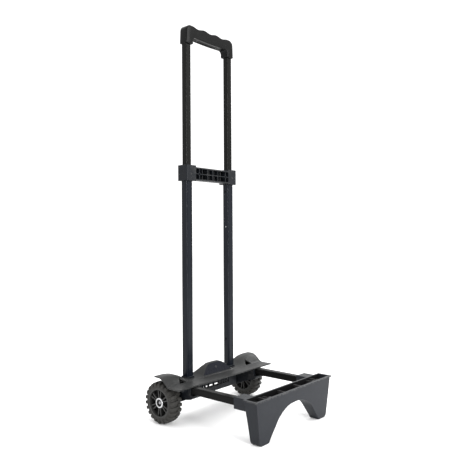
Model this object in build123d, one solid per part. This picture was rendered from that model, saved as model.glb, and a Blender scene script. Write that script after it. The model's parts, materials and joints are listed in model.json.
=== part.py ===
"""Two-wheeled telescoping luggage trolley: twin-tube mast, load plate, sliding front foot.

Millimetres. +Z up, +X to the right as seen from the front, the front faces -Y.
The origin is on the floor under the middle of the trolley's outer box.
Pieces that exist twice are drawn on the +X side and mirrored.
"""

import math
import os

from build123d import *

# Driving dimensions
HANDLE_TOP = 992.5
MAST_X = 80.0
MAST_Y = 112.0
WHEEL_RADIUS = 51.0
WHEEL_INNER_X = 141.5
WHEEL_OUTER_X = 177.5
AXLE_Y = 117.0
AXLE_Z = WHEEL_RADIUS
PLATE_HALF_WIDTH = 181.5
PLATE_TOP = 96.0
PLATE_WALL = 3.2
RAIL_X = 124.5
RAIL_Z = 84.1
FOOT_HALF_WIDTH = 152.0
FOOT_TOP = 100.5

# Telescoping tubes: width along X, depth along Y, corner radius and wall
OUTER_TUBE = (22.6, 18.4, 3.0)
OUTER_WALL = 1.5
RAIL_TUBE = (21.0, 16.8, 3.0)
OUTER_TUBE_BOTTOM = 62.1
OUTER_TUBE_TOP = 631.0
INNER_TUBE = (19.0, 14.8, 2.4)
INNER_WALL = 1.2
INNER_TUBE_BOTTOM = 452.0
INNER_TUBE_TOP = 972.0
GROOVE_WIDTH = 1.2
GROOVE_DEPTH = 0.6
SEAT_GAP = 0.05

# Handle travel: the detent sits in the middle hole, with one hole above and one far below
DETENT_Z = 481.0
TRAVEL_UP = 96.0
TRAVEL_DOWN = 308.0
DETENT_HOLE_RADIUS = 2.8

# Load plate outline along Y
PLATE_FRONT = 42.0
PLATE_REAR = 126.0
PLATE_BOTTOM = PLATE_TOP - PLATE_WALL

# Crossbar at the top of the outer tubes
CROSSBAR_BOTTOM = 596.5
CROSSBAR_TOP = 636.3
BLOCK_HALF_WIDTH = 16.8
BLOCK_HALF_DEPTH = 17.0
BAR_BOTTOM = 598.5
BAR_TOP = 632.0
BAR_REAR_Y = MAST_Y + 1.25
BOSS_X = 50.6

# Handle
HANDLE_OUTER_X = 91.5
SOCKET_INNER_X = 66.0
SOCKET_BOTTOM = 945.5
GRIP_UNDERSIDE = 963.5
HANDLE_HALF_DEPTH = 12.5
WAVE_DEPTH = 6.5
GRIP_BELLY = 1.5

# Running gear
AXLE_RADIUS = 4.0
HUB_FACE_X = WHEEL_OUTER_X - 3.0
AXLE_END_X = HUB_FACE_X - 2.0
BEARING_RADIUS = AXLE_RADIUS + 0.05
HUB_RADIUS = 12.5
HUB_RECESS_RADIUS = 8.8
HUB_RECESS_X = HUB_FACE_X - 5.5
RIM_WINDOW_RADIUS = 32.0
TYRE_SEAT_RADIUS = 38.0
TREAD_FLOOR_RADIUS = WHEEL_RADIUS - 3.4
LUG_COUNT = 22
SPOKE_PAIRS = 6
SPOKE_WIDTH = 2.8
SPOKE_SPREAD = 9.5

# Side brackets that carry the axle and guide the platform rails
BRACKET_INNER_X = 104.0
BRACKET_OUTER_X = 138.5
BRACKET_FRONT = 46.0
BRACKET_REAR = 138.0
RAIL_FRONT = -154.0
RAIL_REAR = 108.0
RAIL_GAP = 0.3

# Front foot
FOOT_FRONT_TOP_Y = -165.0
FOOT_FRONT_SOLE_Y = -161.0
FOOT_REAR_Y = -130.0
FOOT_REAR_SOLE_Y = -136.5
FOOT_WALL = 3.0
LIP_REACH = 3.0
LIP_HEIGHT = 3.0
COLLAR_REAR_Y = -94.0

# Screws: head radius, head height, shank radius
SCREW = (3.0, 1.5, 1.5)
SCREW_HOLE_RADIUS = 1.6
COLLAR_SCREW_Y = -114.0

PLATE_SCREWS = [(102.0, 73.0), (62.0, 75.5), (147.0, 63.0)]


def block(x0, x1, y0, y1, z0, z1):
    """Box between two corners."""
    return Pos((x0 + x1) / 2, (y0 + y1) / 2, (z0 + z1) / 2) * Box(x1 - x0, y1 - y0, z1 - z0)


def rod_z(x, y, z0, z1, radius):
    """Upright cylinder."""
    return Pos(x, y, (z0 + z1) / 2) * Cylinder(radius, z1 - z0)


def rod_x(x0, x1, y, z, radius):
    """Cylinder along X."""
    return Pos((x0 + x1) / 2, y, z) * Rot(0, 90, 0) * Cylinder(radius, x1 - x0)


def rod_y(x, y0, y1, z, radius):
    """Cylinder along Y."""
    return Pos(x, (y0 + y1) / 2, z) * Rot(90, 0, 0) * Cylinder(radius, y1 - y0)


def upright_bar(size_x, size_y, radius, z0, z1, x=MAST_X, y=MAST_Y):
    """Rounded rectangle in plan, standing from z0 to z1."""
    return Pos(x, y, z0) * extrude(RectangleRounded(size_x, size_y, radius), z1 - z0)


def lying_bar(size_x, size_z, radius, y0, y1, x=RAIL_X, z=RAIL_Z):
    """Rounded rectangle in the XZ plane, lying from y0 to y1."""
    return Pos(x, y1, z) * extrude(Plane.XZ * RectangleRounded(size_x, size_z, radius), y1 - y0)


def prism_x(face, x0, x1):
    """Profile drawn as (Y, Z), swept from x0 to x1."""
    return Pos(x0, 0, 0) * extrude(Plane.YZ * face, x1 - x0)


def prism_y(face, y0, y1):
    """Profile drawn as (X, Z), swept from y0 to y1."""
    return Pos(0, y1, 0) * extrude(Plane.XZ * face, y1 - y0)


def mirrored(part):
    """The same piece on the other side of the trolley."""
    return mirror(part, Plane.YZ)


def both_sides(part):
    """A pair of equal pieces as one compound."""
    return Compound(children=[*part.solids(), *mirrored(part).solids()])


def screw(length):
    """Pan-head screw with a cross recess: seat at z=0, shank downwards."""
    head_radius, head_height, shank_radius = SCREW
    body = rod_z(0, 0, 0, head_height, head_radius) + rod_z(0, 0, -length, 0, shank_radius)
    body = fillet(body.edges().group_by(Axis.Z)[-1], head_height / 2)
    slot = Pos(0, 0, head_height) * Box(head_radius * 1.1, 0.6, 1.2)
    return body - slot - Rot(0, 0, 90) * slot


def grooved(bar, size_x, size_y, cutter):
    """Four shallow grooves beside the corners, along the whole bar."""
    inset = size_x / 2 - 3.4
    for side_x in (-1, 1):
        for side_y in (-1, 1):
            bar -= cutter(side_x * inset, side_y * size_y / 2)
    return bar


# Mast ------------------------------------------------------------------------------------


def mast_tube(size, wall, z0, z1):
    """Rectangular tube with rounded corners and grooves on its front and back."""
    size_x, size_y, radius = size
    tube = upright_bar(size_x, size_y, radius, z0, z1)
    tube -= upright_bar(size_x - 2 * wall, size_y - 2 * wall, radius - wall / 2, z0 - 1, z1 + 1)

    def cutter(x, y):
        return Pos(MAST_X + x, MAST_Y + y, (z0 + z1) / 2) * Box(GROOVE_WIDTH, 2 * GROOVE_DEPTH, z1 - z0 + 2)

    return grooved(tube, size_x, size_y, cutter)


def outer_tube():
    tube = mast_tube(OUTER_TUBE, OUTER_WALL, OUTER_TUBE_BOTTOM, OUTER_TUBE_TOP)
    inner_face = MAST_X - OUTER_TUBE[0] / 2
    for z in (DETENT_Z + TRAVEL_UP, DETENT_Z, DETENT_Z - TRAVEL_DOWN):
        tube -= rod_x(inner_face - 1, inner_face + OUTER_WALL + 1, MAST_Y, z, DETENT_HOLE_RADIUS)
    return tube


NOSE_RADIUS = 2.4
PIN_RADIUS = 3.0
PIN_TIP_X = MAST_X - OUTER_TUBE[0] / 2 + OUTER_WALL + 0.1
PIN_SHOULDER_X = MAST_X - INNER_TUBE[0] / 2 + INNER_WALL + 0.1
PIN_TAIL_X = PIN_SHOULDER_X + 4.0
SPRING_END_X = PIN_TAIL_X + 6.0
SPRING_WIRE_RADIUS = 0.3


def inner_tube():
    tube = mast_tube(INNER_TUBE, INNER_WALL, INNER_TUBE_BOTTOM, INNER_TUBE_TOP)
    return tube - rod_x(PIN_TIP_X - 2, PIN_SHOULDER_X, MAST_Y, DETENT_Z, NOSE_RADIUS + 0.06)


def inner_tube_plug():
    """Plastic plug in the lower end of the inner tube; the detent pin slides in its bore."""
    inner_x = INNER_TUBE[0] - 2 * INNER_WALL - 2 * SEAT_GAP
    inner_y = INNER_TUBE[1] - 2 * INNER_WALL - 2 * SEAT_GAP
    corner = INNER_TUBE[2] - INNER_WALL / 2
    plug = upright_bar(inner_x, inner_y, corner, INNER_TUBE_BOTTOM, DETENT_Z + 12)
    plug += upright_bar(INNER_TUBE[0], INNER_TUBE[1], INNER_TUBE[2], INNER_TUBE_BOTTOM - 4, INNER_TUBE_BOTTOM)
    return plug - rod_x(PIN_TIP_X, SPRING_END_X, MAST_Y, DETENT_Z, PIN_RADIUS + 0.06)


def detent_pin():
    """Round-nosed steel pin; its nose shows through the hole in the outer tube."""
    dome_depth = 1.0
    nose = rod_x(PIN_TIP_X, PIN_SHOULDER_X, MAST_Y, DETENT_Z, NOSE_RADIUS)
    nose = fillet(nose.edges().group_by(Axis.X)[0], dome_depth)
    return nose + rod_x(PIN_SHOULDER_X, PIN_TAIL_X, MAST_Y, DETENT_Z, PIN_RADIUS)


def detent_spring():
    """Compression spring between the pin's tail and the end of the plug's bore."""
    margin = SPRING_WIRE_RADIUS + 0.02
    height = SPRING_END_X - PIN_TAIL_X - 2 * margin
    coil_radius = PIN_RADIUS - 2 * SPRING_WIRE_RADIUS
    path = Helix(pitch=height / 5, height=height, radius=coil_radius)
    wire = sweep(Plane(origin=path @ 0, z_dir=path % 0) * Circle(SPRING_WIRE_RADIUS), path=path)
    return Pos(PIN_TAIL_X + margin, MAST_Y, DETENT_Z) * Rot(0, 90, 0) * wire


def crossbar():
    """Clamp blocks round both outer tubes, joined by a bar of open ribbed cells."""
    cap_height = 2.0
    flange = 3.4
    front = MAST_Y - BLOCK_HALF_DEPTH
    half_length = MAST_X - BLOCK_HALF_WIDTH
    end = block(
        MAST_X - BLOCK_HALF_WIDTH, MAST_X + BLOCK_HALF_WIDTH,
        front, MAST_Y + BLOCK_HALF_DEPTH, CROSSBAR_BOTTOM, CROSSBAR_TOP,
    )
    end = fillet(end.edges().filter_by(Axis.Z).group_by(Axis.X)[-1], 4)
    end = fillet(end.edges().group_by(Axis.Z)[-1], 1)
    end -= upright_bar(
        OUTER_TUBE[0] + 2 * SEAT_GAP, OUTER_TUBE[1] + 2 * SEAT_GAP, OUTER_TUBE[2],
        CROSSBAR_BOTTOM - 1, CROSSBAR_TOP - cap_height,
    )
    end -= upright_bar(INNER_TUBE[0] + 1, INNER_TUBE[1] + 1, INNER_TUBE[2], CROSSBAR_BOTTOM, CROSSBAR_TOP + 1)
    end -= rod_y(MAST_X, front - 1, MAST_Y, BLOCK_SCREW_Z, SCREW_HOLE_RADIUS)
    end -= rod_y(MAST_X, front - 1, front + SCREW[1], BLOCK_SCREW_Z, SCREW[0] + 0.1)

    bar = block(-half_length, half_length, front, BAR_REAR_Y, BAR_BOTTOM, BAR_TOP)
    bar -= block(
        -half_length, half_length, front - 1, BAR_REAR_Y + 1, BAR_BOTTOM + flange, BAR_TOP - flange
    )
    middle = (BAR_BOTTOM + BAR_TOP) / 2
    bar += block(-half_length, half_length, front, BAR_REAR_Y, middle - 1, middle + 1)
    for x, recess in [(0, 0), (10, 5), (20, 0), (35, 5), (BOSS_X, 0)]:
        rib = block(x - 1.1, x + 1.1, front + recess, BAR_REAR_Y, BAR_BOTTOM, BAR_TOP)
        bar += rib + mirrored(rib)
    for x in (-BOSS_X, BOSS_X):
        boss = Pos(x, BAR_REAR_Y, middle) * extrude(Plane.XZ * RegularPolygon(5.4, 4), BAR_REAR_Y - front)
        bar += boss
    for x in (-BOSS_X, BOSS_X):
        bar -= rod_y(x, front - 1, BAR_REAR_Y + 1, middle, 2.2)
    return bar + end + mirrored(end)


BLOCK_SCREW_Z = 614.0
COVER_THICKNESS = 2.4


def crossbar_rear_cover():
    """Plate that closes the cells from behind."""
    half_length = MAST_X - BLOCK_HALF_WIDTH - SEAT_GAP
    cover = block(
        -half_length, half_length, BAR_REAR_Y, BAR_REAR_Y + COVER_THICKNESS, BAR_BOTTOM, BAR_TOP
    )
    cover = fillet(cover.edges().group_by(Axis.Y)[-1], 1)
    middle = (BAR_BOTTOM + BAR_TOP) / 2
    for x in (-BOSS_X, BOSS_X):
        cover -= rod_y(x, BAR_REAR_Y - 1, BAR_REAR_Y + 9, middle, SCREW_HOLE_RADIUS)
    return cover


def crossbar_screws():
    """One screw in each clamp block's front, two through the rear cover."""
    middle = (BAR_BOTTOM + BAR_TOP) / 2
    front = Pos(MAST_X, MAST_Y - BLOCK_HALF_DEPTH + SCREW[1], BLOCK_SCREW_Z) * Rot(90, 0, 0) * screw(5)
    rear = Pos(BOSS_X, BAR_REAR_Y + COVER_THICKNESS, middle) * Rot(-90, 0, 0) * screw(10)
    return both_sides(Compound(children=[*front.solids(), *rear.solids()]))


def guide_bush():
    """Plastic bush on the outer tube's end that guides the inner tube."""
    z0 = OUTER_TUBE_TOP
    z1 = CROSSBAR_TOP - 2.1
    bush = upright_bar(OUTER_TUBE[0], OUTER_TUBE[1], OUTER_TUBE[2], z0, z1)
    return bush - upright_bar(INNER_TUBE[0] + 0.5, INNER_TUBE[1] + 0.5, INNER_TUBE[2], z0 - 1, z1 + 1)


# Handle ----------------------------------------------------------------------------------

COVER_HALF_LENGTH = 60.0
COVER_HALF_WIDTH = 7.0
HANDLE_SCREW_X = 40.0
SOCKET_SCREW_Z = 955.0


def handle_outline():
    """Front view of the handle: rounded shoulders, finger waves on top, two sockets."""
    shoulder = 15.0
    wave_low = HANDLE_TOP - WAVE_DEPTH
    top = [(76, HANDLE_TOP), (46, wave_low), (21, HANDLE_TOP), (0, wave_low)]
    wave = Spline(
        *top, *[(-x, z) for x, z in reversed(top[:-1])], tangents=[(-1, -0.05), (-1, 0.05)]
    )
    right_top = Line((HANDLE_OUTER_X - shoulder, HANDLE_TOP), top[0])
    left_top = Line((-top[0][0], HANDLE_TOP), (-HANDLE_OUTER_X + shoulder, HANDLE_TOP))
    arc_right = RadiusArc(
        (HANDLE_OUTER_X, HANDLE_TOP - shoulder), (HANDLE_OUTER_X - shoulder, HANDLE_TOP), -shoulder
    )
    arc_left = RadiusArc(
        (-HANDLE_OUTER_X + shoulder, HANDLE_TOP), (-HANDLE_OUTER_X, HANDLE_TOP - shoulder), -shoulder
    )
    corner = 10.0
    underside = Polyline(
        (-HANDLE_OUTER_X, HANDLE_TOP - shoulder),
        (-HANDLE_OUTER_X, SOCKET_BOTTOM),
        (-SOCKET_INNER_X, SOCKET_BOTTOM),
        (-SOCKET_INNER_X, GRIP_UNDERSIDE - corner),
    )
    inner_left = RadiusArc(
        (-SOCKET_INNER_X, GRIP_UNDERSIDE - corner), (-SOCKET_INNER_X + corner, GRIP_UNDERSIDE), corner
    )
    under = ThreePointArc(
        (-SOCKET_INNER_X + corner, GRIP_UNDERSIDE), (0, GRIP_UNDERSIDE - GRIP_BELLY),
        (SOCKET_INNER_X - corner, GRIP_UNDERSIDE),
    )
    inner_right = RadiusArc(
        (SOCKET_INNER_X - corner, GRIP_UNDERSIDE), (SOCKET_INNER_X, GRIP_UNDERSIDE - corner), corner
    )
    right_side = Polyline(
        (SOCKET_INNER_X, GRIP_UNDERSIDE - corner),
        (SOCKET_INNER_X, SOCKET_BOTTOM),
        (HANDLE_OUTER_X, SOCKET_BOTTOM),
        (HANDLE_OUTER_X, HANDLE_TOP - shoulder),
    )
    top_edges = [wave, right_top, left_top, arc_right, arc_left]
    return make_face(Curve() + top_edges + [underside, inner_left, under, inner_right, right_side])


def handle_shell():
    """Hollow grip with a socket for each inner tube, open underneath."""
    shell = prism_y(handle_outline(), MAST_Y - HANDLE_HALF_DEPTH, MAST_Y + HANDLE_HALF_DEPTH)
    cavity = block(
        -COVER_HALF_LENGTH, COVER_HALF_LENGTH, MAST_Y - COVER_HALF_WIDTH, MAST_Y + COVER_HALF_WIDTH,
        GRIP_UNDERSIDE - GRIP_BELLY - 1, HANDLE_TOP - 9,
    )
    shell -= cavity
    for side in (-1, 1):
        shell += rod_z(side * HANDLE_SCREW_X, MAST_Y, GRIP_UNDERSIDE + 3, HANDLE_TOP - 7, 4)
        shell -= rod_z(side * HANDLE_SCREW_X, MAST_Y, GRIP_UNDERSIDE, GRIP_UNDERSIDE + 14, SCREW_HOLE_RADIUS)
        shell -= upright_bar(
            INNER_TUBE[0] + 2 * SEAT_GAP, INNER_TUBE[1] + 2 * SEAT_GAP, INNER_TUBE[2],
            SOCKET_BOTTOM - 1, INNER_TUBE_TOP + SEAT_GAP, x=side * MAST_X,
        )
        shell -= rod_y(side * MAST_X, MAST_Y, MAST_Y + 20, SOCKET_SCREW_Z, SCREW_HOLE_RADIUS)
    return shell


def handle_under_cover():
    """Cover strip that closes the grip from below."""
    cover = block(
        -COVER_HALF_LENGTH + SEAT_GAP, COVER_HALF_LENGTH - SEAT_GAP,
        MAST_Y - COVER_HALF_WIDTH + SEAT_GAP, MAST_Y + COVER_HALF_WIDTH - SEAT_GAP,
        GRIP_UNDERSIDE, GRIP_UNDERSIDE + 3,
    )
    for side in (-1, 1):
        screw_x = side * HANDLE_SCREW_X
        cover -= rod_z(screw_x, MAST_Y, GRIP_UNDERSIDE - 1, GRIP_UNDERSIDE + 9, SCREW_HOLE_RADIUS)
        cover -= rod_z(screw_x, MAST_Y, GRIP_UNDERSIDE - 1, GRIP_UNDERSIDE + SCREW[1], SCREW[0] + 0.1)
    return cover


def handle_screws():
    """Two screws through the under cover, one in the back of each socket."""
    under = Pos(HANDLE_SCREW_X, MAST_Y, GRIP_UNDERSIDE + SCREW[1]) * Rot(180, 0, 0) * screw(10)
    back = Pos(MAST_X, MAST_Y + HANDLE_HALF_DEPTH, SOCKET_SCREW_Z) * Rot(-90, 0, 0) * screw(4.6)
    return both_sides(Compound(children=[*under.solids(), *back.solids()]))


# Load plate ------------------------------------------------------------------------------

FENDER_FOOT_X = 88.0
FENDER_TOP = 116.8
HUMP_TOP = 125.0
# The leaning front of the hump, as (Y, Z) at its lower and upper edges
PANEL_LOW, PANEL_HIGH = (85.0, 105.0), (92.0, 120.5)
COLLAR_MARGIN = 5.0
COLLAR_HEIGHT = 4.5
COLLAR_RECESS = 0.6


def under_curve(points, tangents, floor, run_in, run_out):
    """Area from a level floor up to a curve with a level run before and after it."""
    (u0, v0), (u1, v1) = points[0], points[-1]
    curve = Spline(*points, tangents=tangents)
    edges = [
        Line((u0 - run_in, v0), (u0, v0)),
        curve,
        Line((u1, v1), (u1 + run_out, v1)),
        Polyline((u1 + run_out, v1), (u1 + run_out, floor), (u0 - run_in, floor), (u0 - run_in, v0)),
    ]
    return make_face(Curve() + edges)


def fender(drop, grow):
    """Raised wheel arch: the lower of a front-to-back curve and a side-to-side curve."""
    floor = PLATE_BOTTOM - drop
    along_y = under_curve(
        [(74, PLATE_TOP - drop), (87, 104 - drop), (97, 112 - drop), (112, FENDER_TOP - drop)],
        [(1, 0), (1, 0)], floor, 32 + grow, 14 + grow,
    )
    along_x = under_curve(
        [(FENDER_FOOT_X, PLATE_TOP - drop), (116, 108.6 - drop), (137, 115 - drop), (160, FENDER_TOP - drop)],
        [(1, 0.2), (1, 0)], floor, 0.01, PLATE_HALF_WIDTH - 160 + grow,
    )
    arch = prism_x(along_y, FENDER_FOOT_X, PLATE_HALF_WIDTH + grow)
    return arch & prism_y(along_x, PLATE_FRONT - grow, PLATE_REAR + grow)


def hump(drop, grow):
    """Raised housing between the masts, with a leaning front."""
    floor = PLATE_BOTTOM - drop
    low, high = [(y, z - drop) for y, z in (PANEL_LOW, PANEL_HIGH)]
    front = [(70, PLATE_TOP - drop), low, high, (99, HUMP_TOP - drop)]
    rear = [(104, HUMP_TOP - drop), (108, 118 - drop), (118, 106 - drop), (PLATE_REAR + grow, 99 - drop)]
    edges = [
        Spline(*front[:2], tangents=[(1, 0), (1, 1.6)]),
        Line(front[1], front[2]),
        Spline(front[2], front[3], tangents=[(0.35, 0.9), (1, 0)]),
        Line(front[3], rear[0]),
        Polyline(*rear, (PLATE_REAR + grow, floor), (70, floor), front[0]),
    ]
    side = make_face(Curve() + edges)
    shoulder = [(66, PLATE_TOP - drop), (54, 101 - drop), (36, 117 - drop), (18, HUMP_TOP - drop)]
    left = [(-x, z) for x, z in reversed(shoulder)]
    across = make_face(
        Curve()
        + [
            Spline(*shoulder, tangents=[(-1, 0.25), (-1, 0)]),
            Line(shoulder[-1], left[0]),
            Spline(*left, tangents=[(-1, 0), (-1, -0.25)]),
            Polyline(left[-1], (-66, floor), (66, floor), shoulder[0]),
        ]
    )
    return prism_x(side, -70, 70) & prism_y(across, PLATE_FRONT, PLATE_REAR + grow)


def hump_panel_zone(depth):
    """The outer skin of the hump's leaning front, down to a depth behind it."""
    (y0, z0), (y1, z1) = PANEL_LOW, PANEL_HIGH
    skin = make_face(Polyline((y0, z0), (y1, z1), (y1 + depth, z1), (y0 + depth, z0), (y0, z0)))
    half_low, half_high = 49.0, 30.0
    outline = make_face(
        Curve()
        + [
            Polyline((-half_low, 106), (half_low, 106), (half_high, 118)),
            ThreePointArc((half_high, 118), (0, 120), (-half_high, 118)),
            Line((-half_high, 118), (-half_low, 106)),
        ]
    )
    return prism_x(skin, -60, 60) & prism_y(outline, 80, 100)


def panel_screw_at(part):
    """Place a screw drawn along Z square to the leaning panel, at its middle."""
    (y0, z0), (y1, z1) = PANEL_LOW, PANEL_HIGH
    z = 112.5
    y = y0 + (z - z0) * (y1 - y0) / (z1 - z0)
    return Pos(0, y, z) * Rot(math.degrees(math.atan2(z1 - z0, y1 - y0)), 0, 0) * part


def base_plate():
    """Moulded load plate: flat front strip, wheel arches at the ends, hump in the middle."""
    plate = block(-PLATE_HALF_WIDTH, PLATE_HALF_WIDTH, PLATE_FRONT, PLATE_REAR, PLATE_BOTTOM, PLATE_TOP)
    arch = fender(0, 0)
    plate = plate + arch + mirrored(arch) + hump(0, 0)
    arch_hollow = fender(PLATE_WALL, 12)
    plate = plate - arch_hollow - mirrored(arch_hollow) - hump(PLATE_WALL, 12)
    plate -= hump_panel_zone(1.2)
    plate -= panel_screw_at(rod_z(0, 0, -12, 3, SCREW_HOLE_RADIUS))
    vent = make_face(Polyline((119, 81), (140, 81), (131, 96), (119, 81)))
    vent_cut = Pos(0, 0, PLATE_BOTTOM) * extrude(vent, 30)
    plate = plate - vent_cut - mirrored(vent_cut)
    for side in (-1, 1):
        plate -= upright_bar(
            OUTER_TUBE[0] + 0.4, OUTER_TUBE[1] + 0.4, OUTER_TUBE[2], PLATE_BOTTOM - 1, 140, x=side * MAST_X
        )
        plate -= upright_bar(
            OUTER_TUBE[0] + COLLAR_MARGIN, OUTER_TUBE[1] + COLLAR_MARGIN, 4, PLATE_TOP - COLLAR_RECESS, 140,
            x=side * MAST_X,
        )
        for x, y in PLATE_SCREWS:
            plate -= rod_z(side * x, y, PLATE_BOTTOM - 5, PLATE_TOP + 5, SCREW_HOLE_RADIUS)
            plate -= rod_z(side * x, y, PLATE_TOP - SCREW[1], PLATE_TOP + 5, SCREW[0] + 0.1)
    return plate


def hump_panel():
    panel = hump_panel_zone(1.0)
    return panel - panel_screw_at(rod_z(0, 0, -12, 3, SCREW_HOLE_RADIUS))


def tube_collar():
    """Ring where the outer tube passes through the load plate."""
    z0, z1 = PLATE_TOP - COLLAR_RECESS, PLATE_TOP + COLLAR_HEIGHT
    collar = upright_bar(OUTER_TUBE[0] + COLLAR_MARGIN, OUTER_TUBE[1] + COLLAR_MARGIN, 4, z0, z1)
    collar = fillet(collar.edges().group_by(Axis.Z)[-1], 1.2)
    collar -= upright_bar(
        OUTER_TUBE[0] + 2 * SEAT_GAP, OUTER_TUBE[1] + 2 * SEAT_GAP, OUTER_TUBE[2], z0 - 1, z1 + 1
    )
    return collar


# Chassis under the plate -----------------------------------------------------------------

SOCKET_INNER, SOCKET_OUTER = 65.0, 95.0


def tube_socket():
    """Cup that holds the foot of an outer tube, with the axle through its base."""
    cup = block(SOCKET_INNER, SOCKET_OUTER, 98, 134, 44, PLATE_BOTTOM)
    cup = fillet(cup.edges().filter_by(Axis.X).group_by(Axis.Z)[0], 8)
    cup -= upright_bar(
        OUTER_TUBE[0] + 2 * SEAT_GAP, OUTER_TUBE[1] + 2 * SEAT_GAP, OUTER_TUBE[2],
        OUTER_TUBE_BOTTOM - SEAT_GAP, PLATE_BOTTOM + 1,
    )
    return cup - rod_x(SOCKET_INNER - 1, SOCKET_OUTER + 1, AXLE_Y, AXLE_Z, BEARING_RADIUS)


def crossmember():
    """Ribbed beam between the two cups, with a row of slots above the axle."""
    half = SOCKET_INNER - SEAT_GAP
    beam = block(-half, half, 70, 134, PLATE_BOTTOM - 3, PLATE_BOTTOM)
    beam += block(-half, half, 96, 99, 66.5, PLATE_BOTTOM)
    beam += block(-half, half, 94, 100, 48, 60)
    beam += block(-half, half, 131, 134, 64, PLATE_BOTTOM)
    for x in (0, 20, 33, 42, 51, 60):
        rib = block(x - 1.1, x + 1.1, 94, 134, 72, PLATE_BOTTOM)
        rib += block(x - 1.1, x + 1.1, 94, 100, 48, PLATE_BOTTOM)
        beam += rib + mirrored(rib)
    for side in (-1, 1):
        x, y = PLATE_SCREWS[1]
        beam += rod_z(side * (x - 2), y, 80, PLATE_BOTTOM, 4.5)
        beam -= rod_z(side * x, y, 70, PLATE_BOTTOM + 1, SCREW_HOLE_RADIUS)
    return beam & block(-half, half, 0, 200, 0, PLATE_BOTTOM)


def side_bracket():
    """Cheek under the wheel arch: carries the axle and guides a platform rail."""
    profile = make_face(
        Polyline(
            (BRACKET_FRONT, PLATE_BOTTOM), (BRACKET_FRONT, 73.8), (36, 73.8), (38, 68), (BRACKET_FRONT, 64),
            (70, 59), (104, 43), (BRACKET_REAR - 8, 43), (BRACKET_REAR, 52), (BRACKET_REAR, PLATE_BOTTOM),
            (BRACKET_FRONT, PLATE_BOTTOM),
        )
    )
    cheek = prism_x(profile, BRACKET_INNER_X, BRACKET_OUTER_X)
    cheek -= block(BRACKET_INNER_X + 4, BRACKET_OUTER_X - 4, 56, 98, 40, 71)
    for x, y in (PLATE_SCREWS[0], PLATE_SCREWS[2]):
        cheek += rod_z(x, y, 82, PLATE_BOTTOM, 4.5)
        x_low, x_high = min(x, BRACKET_OUTER_X - 2), max(x, BRACKET_INNER_X + 2)
        cheek += block(x_low, x_high, y - 4.5, y + 4.5, 82, PLATE_BOTTOM)
    half_x = RAIL_TUBE[0] / 2 + RAIL_GAP
    half_z = RAIL_TUBE[1] / 2 + RAIL_GAP
    cheek -= block(RAIL_X - half_x, RAIL_X + half_x, 20, 150, RAIL_Z - half_z, PLATE_BOTTOM + 1)
    for x, y in (PLATE_SCREWS[0], PLATE_SCREWS[2]):
        cheek -= rod_z(x, y, 80, PLATE_BOTTOM + 1, SCREW_HOLE_RADIUS)
    return cheek - rod_x(BRACKET_INNER_X - 1, BRACKET_OUTER_X + 1, AXLE_Y, AXLE_Z, BEARING_RADIUS)


def plate_screws():
    heads = [
        solid
        for x, y in PLATE_SCREWS
        for solid in (Pos(x, y, PLATE_TOP - SCREW[1]) * screw(8)).solids()
    ]
    return both_sides(Compound(children=heads))


# Running gear ----------------------------------------------------------------------------

CLIP_X = HUB_RECESS_X + 0.5
CLIP_THICKNESS = 1.0
CLIP_GROOVE_RADIUS = 3.3


def axle():
    """Fixed steel rod with a clip groove near each end."""
    rod = rod_x(-AXLE_END_X, AXLE_END_X, AXLE_Y, AXLE_Z, AXLE_RADIUS)
    rod = chamfer(rod.edges().filter_by(GeomType.CIRCLE), 0.6)
    for side in (-1, 1):
        x0 = side * (CLIP_X + CLIP_THICKNESS / 2)
        ring = rod_x(x0 - 0.6, x0 + 0.6, AXLE_Y, AXLE_Z, AXLE_RADIUS + 1)
        ring -= rod_x(x0 - 0.6, x0 + 0.6, AXLE_Y, AXLE_Z, CLIP_GROOVE_RADIUS)
        rod -= ring
    return rod


def axle_clips():
    clip = rod_x(CLIP_X, CLIP_X + CLIP_THICKNESS, AXLE_Y, AXLE_Z, 6.6)
    clip -= rod_x(CLIP_X - 1, CLIP_X + 2, AXLE_Y, AXLE_Z, CLIP_GROOVE_RADIUS + SEAT_GAP)
    clip -= block(CLIP_X - 1, CLIP_X + 2, AXLE_Y - 2.6, AXLE_Y + 2.6, AXLE_Z - 8, AXLE_Z)
    return both_sides(clip)


def wheel_spacers():
    spacer = rod_x(BRACKET_OUTER_X, WHEEL_INNER_X - 0.4, AXLE_Y, AXLE_Z, 7.5)
    return both_sides(spacer - rod_x(BRACKET_OUTER_X - 1, WHEEL_INNER_X, AXLE_Y, AXLE_Z, BEARING_RADIUS))


# Lug crown from the shoulder inwards: distance from the tyre's edge, drop below the wheel radius
LUG_CROWN = [(0.0, 8.0), (0.8, 6.0), (2.2, 3.5), (4.7, 1.5), (9.0, 0.3)]


def turned(part, degrees):
    """Turn a part about the axle."""
    return Pos(0, AXLE_Y, AXLE_Z) * Rot(degrees, 0, 0) * Pos(0, -AXLE_Y, -AXLE_Z) * part


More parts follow.
